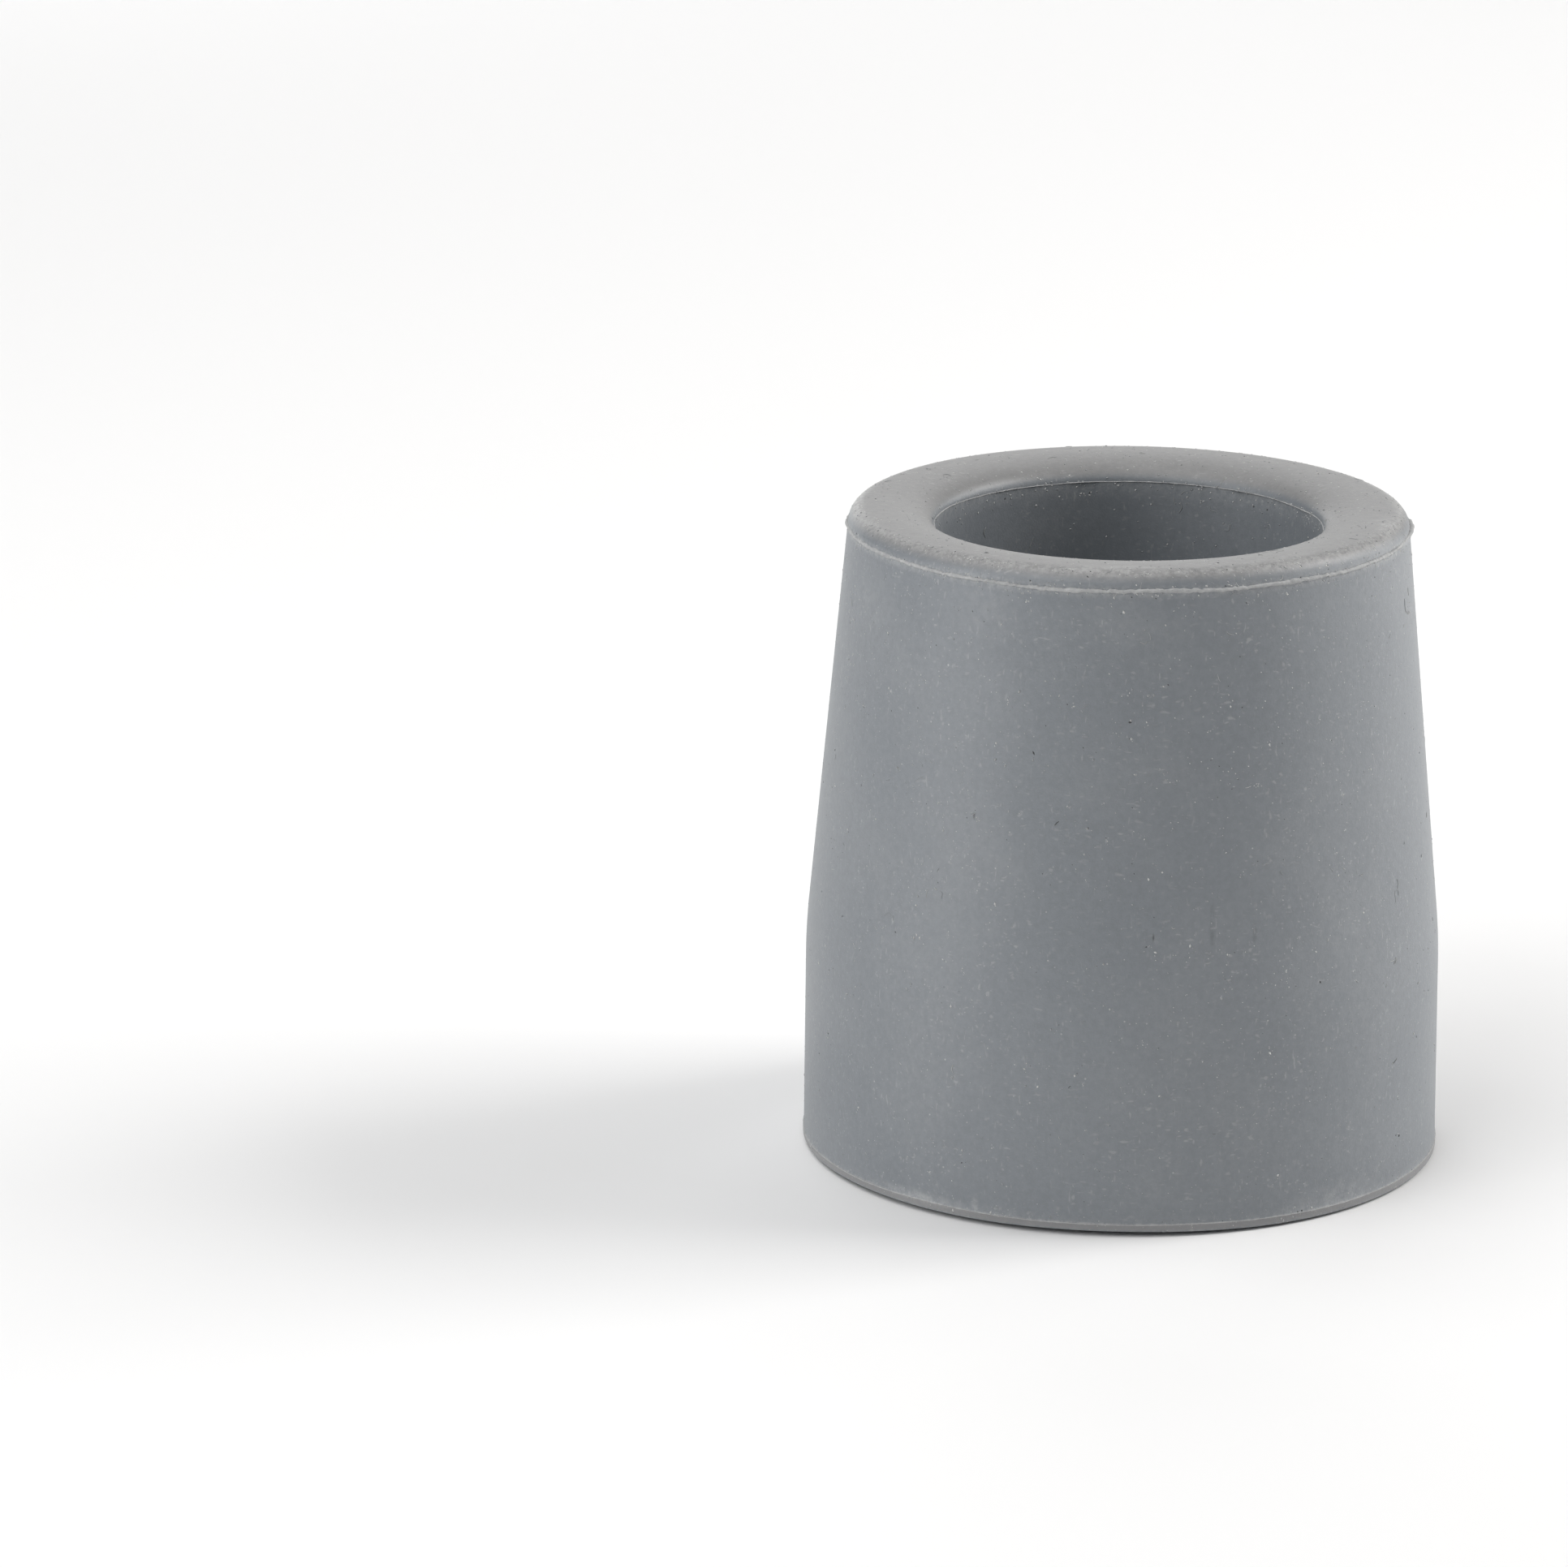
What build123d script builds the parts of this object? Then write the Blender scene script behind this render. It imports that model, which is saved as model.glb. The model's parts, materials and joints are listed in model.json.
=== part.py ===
from build123d import *
from math import radians, tan
import os

# Push-on tip for the leg of a walking frame, moulded in one piece of soft grey rubber.
# A round foot narrows as a cone to a rolled lip, a blind bore grips the leg
# tube, and two deep suction grooves leave a disc and two rings on the tread.
# Millimetres, +Z up, standing on the tread with the origin at its middle.

# Fit on the leg
TUBE_DIAMETER = 28.6  # the common 1 1/8 inch leg tube
GRIP = 0.5  # how far the tube stretches the bore, on the radius
BORE_RADIUS = TUBE_DIAMETER / 2 - GRIP
BORE_DEPTH = 35.0
BORE_FLOOR_CHAMFER = 0.8

# Outer form
TIP_HEIGHT = 46.9
FOOT_RADIUS = 22.9
FOOT_HEIGHT = 15.7  # where the foot would meet the cone
FOOT_DRAFT = 0.5  # degrees, so that the foot leaves the mould
SHOULDER_RADIUS = 19.9  # where the cone meets the parting line of the mould
SHOULDER_DROP = 1.4  # from the top face down to that parting line
CONE_BLEND = 45.0
TOP_CORNER = 1.2
TREAD_CHAMFER = 0.4

# Rolled lip at the mouth of the bore, a quarter of an ellipse
LIP_WIDTH = 3.8
LIP_DEPTH = 1.6

# Tread, from the middle outwards
DISC_RADIUS = 4.35
INNER_GROOVE_RADIUS = 8.45
RING_RADIUS = 12.75
OUTER_GROOVE_RADIUS = 17.4
GROOVE_DEPTH = 3.3
GROOVE_DRAFT = 6.0  # degrees, on each wall
GROOVE_ROOT_CHAMFER = 0.6

# What the trimmed parting lines leave standing proud
PARTING_PROUD = 0.12
PARTING_HEIGHT = 0.3  # where the wedge leaves the wall
FOOT_PARTING = 0.7  # middle of the lower line, above the floor

SHOULDER_HEIGHT = TIP_HEIGHT - SHOULDER_DROP
THROAT_HEIGHT = TIP_HEIGHT - LIP_DEPTH
BORE_FLOOR = TIP_HEIGHT - BORE_DEPTH
WAIST_RADIUS = FOOT_RADIUS - FOOT_HEIGHT * tan(radians(FOOT_DRAFT))


with BuildPart() as walker_tip:
    # Foot, cone and top face
    with BuildSketch(Plane.XZ) as outline:
        with BuildLine():
            Polyline(
                (0, 0),
                (FOOT_RADIUS, 0),
                (WAIST_RADIUS, FOOT_HEIGHT),
                (SHOULDER_RADIUS, SHOULDER_HEIGHT),
                (SHOULDER_RADIUS, TIP_HEIGHT),
                (0, TIP_HEIGHT),
                close=True,
            )
        make_face()
        waist = outline.vertices().filter_by_position(Axis.Y, FOOT_HEIGHT - 1, FOOT_HEIGHT + 1)
        fillet(waist, CONE_BLEND)
        chamfer(outline.vertices().group_by(Axis.Y)[0].sort_by(Axis.X)[-1], TREAD_CHAMFER)
        fillet(outline.vertices().group_by(Axis.Y)[-1].sort_by(Axis.X)[-1], TOP_CORNER)
    revolve(axis=Axis.Z)

    # Blind bore, opening upwards through the rolled lip
    with BuildSketch(Plane.XZ) as hollow:
        with BuildLine():
            Polyline(
                (0, TIP_HEIGHT),
                (0, BORE_FLOOR),
                (BORE_RADIUS, BORE_FLOOR),
                (BORE_RADIUS, THROAT_HEIGHT),
            )
            EllipticalCenterArc(
                (BORE_RADIUS + LIP_WIDTH, THROAT_HEIGHT),
                LIP_WIDTH,
                LIP_DEPTH,
                start_angle=90,
                arc_size=90,
            )
            Line((BORE_RADIUS + LIP_WIDTH, TIP_HEIGHT), (0, TIP_HEIGHT))
        make_face()
        chamfer(hollow.vertices().group_by(Axis.Y)[0].sort_by(Axis.X)[-1], BORE_FLOOR_CHAMFER)
    revolve(axis=Axis.Z, mode=Mode.SUBTRACT)

    # Two suction grooves up into the tread, with drafted walls and broken root corners
    for inner_radius, outer_radius in (
        (DISC_RADIUS, INNER_GROOVE_RADIUS),
        (RING_RADIUS, OUTER_GROOVE_RADIUS),
    ):
        with BuildSketch(Plane.XZ) as groove:
            with Locations(((inner_radius + outer_radius) / 2, 0)):
                Trapezoid(
                    outer_radius - inner_radius,
                    GROOVE_DEPTH,
                    90 - GROOVE_DRAFT,
                    align=(Align.CENTER, Align.MIN),
                )
            chamfer(groove.vertices().group_by(Axis.Y)[-1], GROOVE_ROOT_CHAMFER)
        revolve(axis=Axis.Z, mode=Mode.SUBTRACT)

    # A low wedge of trimmed flash along each parting line of the mould
    for radius, height in (
        (FOOT_RADIUS, FOOT_PARTING),
        (SHOULDER_RADIUS, SHOULDER_HEIGHT),
    ):
        with BuildSketch(Plane.XZ):
            with BuildLine():
                Polyline(
                    (radius - PARTING_PROUD, height - PARTING_HEIGHT),
                    (radius + PARTING_PROUD, height),
                    (radius - PARTING_PROUD, height + PARTING_HEIGHT),
                    close=True,
                )
            make_face()
        revolve(axis=Axis.Z)

walker_tip.part.label = "walker_tip"

os.makedirs("parts", exist_ok=True)
export_step(walker_tip.part, "parts/walker_tip.step")
print("volume, cubic millimetres:", round(walker_tip.part.volume))
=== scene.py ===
"""Looks of a push-on rubber tip for the leg of a walking frame.

The tip is one moulding. Its skin is a surface of revolution with the small faults of a
real moulding. The ragged flash that the mould leaves, the loose fibres and the crumbs of
rubber that lie on it are pieces of their own. All lengths are in metres.
"""

import json
import logging
import math
from dataclasses import dataclass
from enum import Enum

import bpy
import numpy as np
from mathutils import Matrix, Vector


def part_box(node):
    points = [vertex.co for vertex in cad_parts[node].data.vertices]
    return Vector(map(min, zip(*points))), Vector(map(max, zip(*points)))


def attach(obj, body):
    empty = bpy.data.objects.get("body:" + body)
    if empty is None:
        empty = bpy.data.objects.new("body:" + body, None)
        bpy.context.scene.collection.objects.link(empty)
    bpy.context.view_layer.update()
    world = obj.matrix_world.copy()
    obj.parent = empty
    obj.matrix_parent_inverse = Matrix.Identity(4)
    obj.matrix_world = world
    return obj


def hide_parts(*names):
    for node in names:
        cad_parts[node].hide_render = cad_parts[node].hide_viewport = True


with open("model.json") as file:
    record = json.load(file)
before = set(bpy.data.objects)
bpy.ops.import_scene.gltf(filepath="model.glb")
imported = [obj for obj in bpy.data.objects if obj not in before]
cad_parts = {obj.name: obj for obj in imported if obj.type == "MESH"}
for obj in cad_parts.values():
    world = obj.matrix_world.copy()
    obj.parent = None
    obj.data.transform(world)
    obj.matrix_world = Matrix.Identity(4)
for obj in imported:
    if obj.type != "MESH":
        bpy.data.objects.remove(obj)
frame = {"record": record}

LOG = logging.getLogger("walker_tip")
MM = 0.001
NODE = "walker_tip"

Socket = bpy.types.NodeSocket
Colour = tuple[float, float, float, float]


# ---------------------------------------------------------------- sizes


@dataclass(frozen=True)
class TipSizes:
    """Sizes of the moulding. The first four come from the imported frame.

    The drift share is how much of a groove's draft its straight wall takes up. The band
    stands proud by a share of the flash.
    """

    height: float
    outer_radius: float
    bore_radius: float
    bore_wall: float
    flash_proud: float = 0.12 * MM
    waist_height: float = 15.7 * MM
    foot_draft: float = math.radians(0.5)
    shoulder_radius: float = 19.9 * MM
    shoulder_drop: float = 1.4 * MM
    cone_blend: float = 45 * MM
    top_corner: float = 1.35 * MM
    top_sink: float = 0.045 * MM
    lip_width: float = 3.8 * MM
    lip_depth: float = 1.6 * MM
    bore_floor_round: float = 0.8 * MM
    disc_radius: float = 4.35 * MM
    inner_groove_radius: float = 8.45 * MM
    ring_radius: float = 12.75 * MM
    outer_groove_radius: float = 17.4 * MM
    groove_depth: float = 3.3 * MM
    groove_draft: float = math.radians(6)
    groove_root: float = 0.4 * MM
    drift_share: float = 0.8
    tread_rest: float = 0.05 * MM
    tread_edge: float = 0.07 * MM
    foot_round: float = 0.17 * MM
    foot_band: float = 0.49 * MM
    foot_step: float = 0.14 * MM
    band_proud: float = 0.4

    @property
    def foot_radius(self) -> float:
        """Radius of the foot's wall at the floor, without the flash."""
        return self.outer_radius - self.flash_proud

    @property
    def band_radius(self) -> float:
        """Radius of the band below the line at which the foot was trimmed."""
        return self.foot_radius + self.band_proud * self.flash_proud

    @property
    def foot_line(self) -> float:
        """Height of the line at which the foot was trimmed."""
        return self.foot_round + self.foot_band

    @property
    def face_height(self) -> float:
        """Height of the top face, which leaves room for the grains that lie on it."""
        return self.height - self.top_sink

    @property
    def shoulder_height(self) -> float:
        """Height of the upper parting line."""
        return self.height - self.shoulder_drop

    @property
    def throat_height(self) -> float:
        """Height at which the rolled lip meets the straight bore."""
        return self.height - self.lip_depth

    @property
    def bore_floor(self) -> float:
        """Height of the flat floor of the bore."""
        return self.throat_height - self.bore_wall - self.bore_floor_round

    def wall_radius(self, height: float) -> float:
        """Radius of the foot's drafted wall at a height."""
        return self.foot_radius - height * math.tan(self.foot_draft)


def read_sizes() -> TipSizes:
    """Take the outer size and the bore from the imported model.

    Returns:
        The sizes that every piece is worked out from.
    """
    low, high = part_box(NODE)
    bore = next(m for m in frame["record"]["mounts"] if m["name"] == "leg_bore")
    return TipSizes(
        height=high.z - low.z,
        outer_radius=(high.x - low.x) / 2,
        bore_radius=bore["dims"]["r_mm"] * MM,
        bore_wall=bore["dims"]["length_mm"] * MM,
    )


# ---------------------------------------------------------------- shape helpers


def ring_noise(count: int, waves: float, seed: int) -> np.ndarray:
    """Smooth noise round a ring: white noise whose waves shorter than the limit fade out.

    Args:
        count: Number of places round the ring.
        waves: About how many bumps the ring gets.
        seed: Fixes the pattern.

    Returns:
        One value a place, with mean 0 and standard deviation 1.
    """
    spectrum = np.fft.rfft(np.random.default_rng(seed).normal(size=count))
    order = np.arange(spectrum.size)
    spectrum *= np.exp(-((order / waves) ** 2))
    spectrum[0] = 0
    values = np.fft.irfft(spectrum, count)
    return values / values.std()


def unit(vectors: np.ndarray) -> np.ndarray:
    """Scale vectors along the last axis to length 1."""
    return vectors / np.linalg.norm(vectors, axis=-1, keepdims=True)


def heading(azimuth: float) -> float:
    """Turn degrees from the front, positive to the right, into a polar angle in radians."""
    return math.radians(azimuth - 90)


def ring_angles(count: int) -> np.ndarray:
    """Polar angles of places spread evenly round a ring, in radians."""
    return np.arange(count) * 2 * np.pi / count


def angle_from(azimuth: float, angle: np.ndarray) -> np.ndarray:
    """How far polar angles lie from an azimuth, within half a turn either way, in radians."""
    return np.angle(np.exp(1j * (angle - heading(azimuth))))


def revolve(radius: np.ndarray, angle: np.ndarray, height: np.ndarray) -> np.ndarray:
    """Join radius, polar angle and height into places, or into directions."""
    parts = np.broadcast_arrays(radius * np.cos(angle), radius * np.sin(angle), height)
    return np.stack(parts, axis=-1)


def grid_faces(rows: int, columns: int) -> np.ndarray:
    """Quads of a grid whose columns close into a ring.

    Args:
        rows: Number of points along the profile.
        columns: Number of places round the ring.

    Returns:
        Faces as rows of four vertex numbers, facing outwards where the profile runs
        anticlockwise in a section drawn with the radius to the right.
    """
    i = np.arange(rows - 1)[:, None] * columns
    j = np.arange(columns)[None, :]
    k = (j + 1) % columns
    quads = np.stack([i + j, i + k, i + columns + k, i + columns + j], axis=-1)
    return quads.reshape(-1, 4)


def add_object(name: str, data: bpy.types.ID) -> bpy.types.Object:
    """Make an object from its data and link it to the scene."""
    item = bpy.data.objects.new(name, data)
    bpy.context.scene.collection.objects.link(item)
    return item


def make_mesh(
    name: str,
    places: np.ndarray,
    quads: np.ndarray,
    triangles: np.ndarray | None = None,
    marks: dict[str, np.ndarray] | None = None,
) -> bpy.types.Object:
    """Put whole arrays of places and faces into a smooth-shaded mesh object at the origin.

    Args:
        name: Name of the object and of its mesh.
        places: Vertex places, n by 3.
        quads: Vertex numbers of the four-sided faces.
        triangles: Vertex numbers of the three-sided faces.
        marks: Values for each vertex, kept as attributes that the finishes read.

    Returns:
        The new object, linked to the scene.
    """
    triangles = np.empty((0, 3), int) if triangles is None else triangles
    loops = np.concatenate([quads.ravel(), triangles.ravel()]).astype(np.int32)
    size = np.repeat([4, 3], [len(quads), len(triangles)])
    mesh = bpy.data.meshes.new(name)
    mesh.vertices.add(len(places))
    mesh.vertices.foreach_set("co", places.astype(np.float32).ravel())
    mesh.loops.add(loops.size)
    mesh.loops.foreach_set("vertex_index", loops)
    mesh.polygons.add(size.size)
    mesh.polygons.foreach_set("loop_start", (np.cumsum(size) - size).astype(np.int32))
    mesh.polygons.foreach_set("use_smooth", np.ones(size.size, bool))
    for label, values in (marks or {}).items():
        mark = mesh.attributes.new(label, "FLOAT", "POINT")
        mark.data.foreach_set("value", values.astype(np.float32).ravel())
    mesh.update(calc_edges=True)
    return add_object(name, mesh)


# ---------------------------------------------------------------- outline and skin


class Region(Enum):
    """Parts of the surface, with how thickly fibres and crumbs lie on each."""

    TREAD = 1.8
    GROOVE = 1.1
    BAND = 1.2
    WALL = 1.0
    TOP = 1.3
    BORE = 0.4


class Outline:
    """The moulding's half section, drawn from the middle of the tread outwards, up the
    wall, over the lip and down the bore to the middle of its floor."""

    def __init__(self, sizes: TipSizes) -> None:
        """Draw the whole outline.

        Args:
            sizes: Sizes of the moulding.
        """
        self.sizes = sizes
        self._stretches: list[np.ndarray] = []
        self._regions: list[Region] = []
        self._edges: list[tuple[float, float, float, float]] = []
        self._draw_tread()
        self._draw_wall()
        self._draw_top()
        self._draw_bore()
        points = np.concatenate(self._stretches)
        region = np.repeat(
            [list(Region).index(r) for r in self._regions], [len(s) for s in self._stretches]
        )
        apart = np.concatenate([[True], np.hypot(*np.diff(points, axis=0).T) > 1e-7])
        self.radius, self.height = points[apart].T
        self.region = region[apart]
        step = np.hypot(np.diff(self.radius), np.diff(self.height))
        self.length = np.concatenate([[0.0], np.cumsum(step)])

    def _line(self, region: Region, start: np.ndarray, end: np.ndarray, step: float) -> None:
        """Add a straight stretch with about one point a step."""
        count = max(2, int(math.dist(start, end) / step) + 1)
        self._stretches.append(np.linspace(start, end, count))
        self._regions.append(region)

    def _arc(
        self, region: Region, centre: np.ndarray, half: tuple[float, float],
        turn: tuple[float, float], count: int,
    ) -> None:
        """Add an arc of an ellipse: centre plus half axes times cosine and sine.

        Args:
            region: Part of the surface that the arc belongs to.
            centre: Radius and height of the centre.
            half: Half widths along the radius and the height.
            turn: First and last angle, in degrees.
            count: Number of points.
        """
        angle = np.radians(np.linspace(turn[0], turn[1], count))
        swing = np.stack([half[0] * np.cos(angle), half[1] * np.sin(angle)], axis=-1)
        self._stretches.append(np.array(centre) + swing)
        self._regions.append(region)

    def _draw_groove(self, inner: float, outer: float) -> None:
        """Add a tread groove: tight edge, drafted wall, rounded root, floor, and back down.

        Args:
            inner: Radius of the tread edge on the inner side.
            outer: Radius of the tread edge on the outer side.
        """
        s = self.sizes
        lean = math.degrees(s.groove_draft)
        edge, root, rest = s.tread_edge, s.groove_root, s.tread_rest
        drift = s.groove_depth * math.tan(s.groove_draft) * s.drift_share
        turn_at = s.groove_depth - root
        groove = Region.GROOVE
        self._arc(Region.TREAD, (inner - edge, rest + edge), (edge, edge), (-90, -lean), 4)
        self._line(groove, (inner, rest + edge), (inner + drift, turn_at), 0.45 * MM)
        self._arc(groove, (inner + drift + root, turn_at), (root, root), (180, 90), 7)
        self._arc(groove, (outer - drift - root, turn_at), (root, root), (90, 0), 7)
        self._line(groove, (outer - drift, turn_at), (outer, rest + edge), 0.45 * MM)
        self._arc(Region.TREAD, (outer + edge, rest + edge), (edge, edge), (180 + lean, 270), 4)
        self._edges += [(edge_at, rest, 0.11 * MM, 0.9) for edge_at in (inner, outer)]

    def _draw_tread(self) -> None:
        """Draw the centre disc, the two grooves, the middle ring and the outer ring."""
        s = self.sizes
        edge, rest = s.tread_edge, s.tread_rest
        flats = (
            (0.0, s.disc_radius - edge),
            (s.inner_groove_radius + edge, s.ring_radius - edge),
            (s.outer_groove_radius + edge, s.foot_radius - 2 * s.foot_round),
        )
        grooves = (
            (s.disc_radius, s.inner_groove_radius),
            (s.ring_radius, s.outer_groove_radius),
        )
        for k, (start, end) in enumerate(flats):
            self._line(Region.TREAD, (start, rest), (end, rest), 0.6 * MM)
            if k < len(grooves):
                self._draw_groove(*grooves[k])

    def _draw_wall(self) -> None:
        """Draw the rounded foot edge, the trimmed band, the wall, its bend and the cone."""
        s = self.sizes
        band = s.band_radius
        half = (2 * s.foot_round, s.foot_round - s.tread_rest)
        self._arc(Region.TREAD, (band - half[0], s.foot_round), half, (-90, 0), 9)
        self._line(Region.BAND, (band, s.foot_round), (band, s.foot_line), 0.12 * MM)
        start = np.array([s.wall_radius(s.foot_line), s.foot_line])
        start += (0, s.foot_step)
        self._line(Region.WALL, (band, s.foot_line), start, 0.05 * MM)
        waist = np.array([s.wall_radius(s.waist_height), s.waist_height])
        shoulder = np.array([s.shoulder_radius, s.shoulder_height])
        below, above = unit(waist - start), unit(shoulder - waist)
        bend = math.acos(float(below @ above))
        reach = s.cone_blend * math.tan(bend / 2)
        first, last = waist - below * reach, waist + above * reach
        centre = first + np.array([-below[1], below[0]]) * s.cone_blend
        turn = math.degrees(math.atan2(first[1] - centre[1], first[0] - centre[0]))
        blend = (s.cone_blend, s.cone_blend)
        self._line(Region.WALL, start, first, 0.6 * MM)
        self._arc(Region.WALL, centre, blend, (turn, turn + math.degrees(bend)), 8)
        self._line(Region.WALL, last, shoulder, 0.6 * MM)
        self._edges += [
            (band, s.foot_line + 0.03 * MM, 0.10 * MM, 0.8),
            (band, s.foot_round, 0.12 * MM, 0.5),
            (s.shoulder_radius, s.shoulder_height, 0.25 * MM, 0.8),
        ]

    def _draw_top(self) -> None:
        """Draw the top corner, the top face and the rolled lip."""
        s = self.sizes
        corner, face = s.top_corner, s.face_height
        side, lip = s.shoulder_radius, s.bore_radius + s.lip_width
        roll = (s.lip_width, face - s.throat_height)
        self._arc(Region.TOP, (side - corner, face - corner), (corner, corner), (0, 90), 10)
        self._line(Region.TOP, (side - corner, face), (lip, face), 0.3 * MM)
        self._arc(Region.TOP, (lip, s.throat_height), roll, (90, 180), 18)
        self._edges.append((side - 0.5 * corner, face - 0.13 * corner, 0.45 * MM, 0.75))

    def _draw_bore(self) -> None:
        """Draw the straight bore, the round of its floor and the floor."""
        s = self.sizes
        rise, floor = s.bore_floor_round, s.bore_floor
        self._line(
            Region.BORE, (s.bore_radius, s.throat_height), (s.bore_radius, floor + rise), 1.3 * MM
        )
        centre = (s.bore_radius - rise, floor + rise)
        self._arc(Region.BORE, centre, (rise, rise), (0, -90), 6)
        self._line(Region.BORE, (s.bore_radius - rise, floor), (0, floor), 1.2 * MM)
        self._edges.append((s.bore_radius, s.throat_height, 0.1 * MM, 0.45))

    def wear(self) -> np.ndarray:
        """Paleness of each point: the largest of bell curves centred on the noted edges."""
        worn = np.zeros_like(self.radius)
        for radius, height, reach, strength in self._edges:
            away = np.hypot(self.radius - radius, self.height - height) / reach
            worn = np.maximum(worn, strength * np.exp(-(away**2)))
        return worn

    def within(self, region: Region) -> np.ndarray:
        """1 on the points of a region, 0 elsewhere."""
        return (self.region == list(Region).index(region)).astype(float)

    def upward(self) -> np.ndarray:
        """1 where the top faces up, fading to 0 where its normal rises less than 0.4."""
        run, rise = np.gradient(self.radius), np.gradient(self.height)
        up = -run / np.maximum(np.hypot(run, rise), 1e-9)
        return np.clip((up - 0.4) / 0.35, 0, 1) * self.within(Region.TOP)

    def radius_at(self, length: np.ndarray) -> np.ndarray:
        """Radius at lengths along the outline."""
        return np.interp(length, self.length, self.radius)

    def height_at(self, length: np.ndarray) -> np.ndarray:
        """Height at lengths along the outline."""
        return np.interp(length, self.length, self.height)

    def at(self, radius: float, height: float) -> float:
        """Length along the outline of the point nearest to a place."""
        away = np.hypot(self.radius - radius, self.height - height)
        return float(self.length[np.argmin(away)])


class Skin:
    """Where the rubber really lies: the outline turned round the axis, a little out of true.

    The foot was trimmed highest at one azimuth, in degrees from the front. The waves of
    the wall fade in outside the outer groove, and the lift fades out up the wall.
    """

    out_of_round: float = 0.05 * MM
    swell_range: tuple[float, float] = (-1.0, 0.8)
    swell_shift: float = 0.1
    fade_start: float = 1.5 * MM
    fade_width: float = 2 * MM
    lift_fade: float = 4 * MM
    foot_wander: float = 0.09 * MM
    trim_lift: float = 0.24 * MM
    trim_azimuth: float = -20
    trim_reach: float = math.radians(48)
    clumped: float = 0.33
    places_per_host: int = 9
    clump_reach: float = 0.7 * MM
    least_radius: float = 2 * MM
    marks: int = 1024

    def __init__(self, outline: Outline) -> None:
        """Fix the slow waves of the wall and of the foot's edge.

        Args:
            outline: The half section.
        """
        self.outline = outline
        self.sizes = outline.sizes
        self._round = ring_noise(self.marks, 3, 11)
        self._lean = ring_noise(self.marks, 4, 12)
        self._foot = ring_noise(self.marks, 6, 13)

    def _around(self, values: np.ndarray, angle: np.ndarray) -> np.ndarray:
        """Read a table of values round the ring at any angle."""
        return np.interp(angle, ring_angles(self.marks), values, period=2 * np.pi)

    def section(self, length: np.ndarray, angle: np.ndarray) -> tuple[np.ndarray, np.ndarray]:
        """Radius and height of the surface. The radius gets slow waves that fade out at the
        tread and the bore. The foot's edge wanders up and down, and a bell curve lifts it
        where it was trimmed highest.

        Args:
            length: Lengths along the outline.
            angle: Polar angles, in radians.

        Returns:
            Radius and height at each pair.
        """
        s = self.sizes
        radius, height = self.outline.radius_at(length), self.outline.height_at(length)
        beyond = radius - s.outer_groove_radius - self.fade_start
        outside = np.clip(beyond / self.fade_width, 0, 1)
        swell = 0.5 * self._around(self._round, angle)
        swell = swell + 0.5 * self._around(self._lean, angle) * height / s.height
        swell = self.out_of_round * (np.clip(swell, *self.swell_range) - self.swell_shift)
        wander = np.clip(0.5 * self._around(self._foot, angle) + 0.5, 0, 1.6)
        away = angle_from(self.trim_azimuth, angle) / self.trim_reach
        lift = self.foot_wander * wander + self.trim_lift * np.exp(-(away**2))
        low = np.clip(1 - height / self.lift_fade, 0, 1) * outside
        return radius + outside * swell, height + low * lift

    def place(self, length: np.ndarray, angle: np.ndarray) -> np.ndarray:
        """Places on the surface."""
        radius, height = self.section(length, angle)
        return revolve(radius, angle, height)

    def normal(self, length: np.ndarray, angle: np.ndarray) -> np.ndarray:
        """Outward directions: the outline's own, turned round the axis."""
        outline, step = self.outline, 0.02 * MM
        before, after = length - step, length + step
        out = outline.height_at(after) - outline.height_at(before)
        up = outline.radius_at(before) - outline.radius_at(after)
        return unit(revolve(out, angle, up))

    def inside(self, places: np.ndarray) -> np.ndarray:
        """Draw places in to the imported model's box: by height, and by distance from the axis."""
        s = self.sizes
        far = np.hypot(places[..., 0], places[..., 1])
        drawn = places * np.minimum(1, s.outer_radius / np.maximum(far, MM))[..., None]
        height = np.clip(places[..., 2], 0, s.height)
        return np.stack([drawn[..., 0], drawn[..., 1], height], axis=-1)

    def spots(self, count: int, worn: float, seed: int) -> tuple[np.ndarray, np.ndarray]:
        """Scatter places over the surface: by area, the region's thickness and the wear. A
        third of them lie in loose clumps round one of the others.

        Args:
            count: Number of places.
            worn: How much more thickly they lie on worn edges.
            seed: Fixes the places.

        Returns:
            Lengths along the outline and polar angles.
        """
        rng = np.random.default_rng(seed)
        outline = self.outline
        thick = np.array([r.value for r in Region])[outline.region]
        thick = thick * (1 + worn * outline.wear()) * outline.radius
        share = np.diff(outline.length) * (thick[1:] + thick[:-1]) / 2
        total = np.concatenate([[0.0], np.cumsum(share)])
        length = np.interp(rng.uniform(0, total[-1], count), total, outline.length)
        angle = rng.uniform(0, 2 * np.pi, count)
        host = rng.integers(0, count // self.places_per_host, count)
        clump = rng.random(count) < self.clumped
        near = rng.normal(0, self.clump_reach, (2, count)) * rng.random(count)
        reach = np.maximum(outline.radius_at(length[host]), self.least_radius)
        length = np.where(clump, np.clip(length[host] + near[0], 0, outline.length[-1]), length)
        return length, np.where(clump, angle[host] + near[1] / reach, angle)


# ---------------------------------------------------------------- pieces


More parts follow.
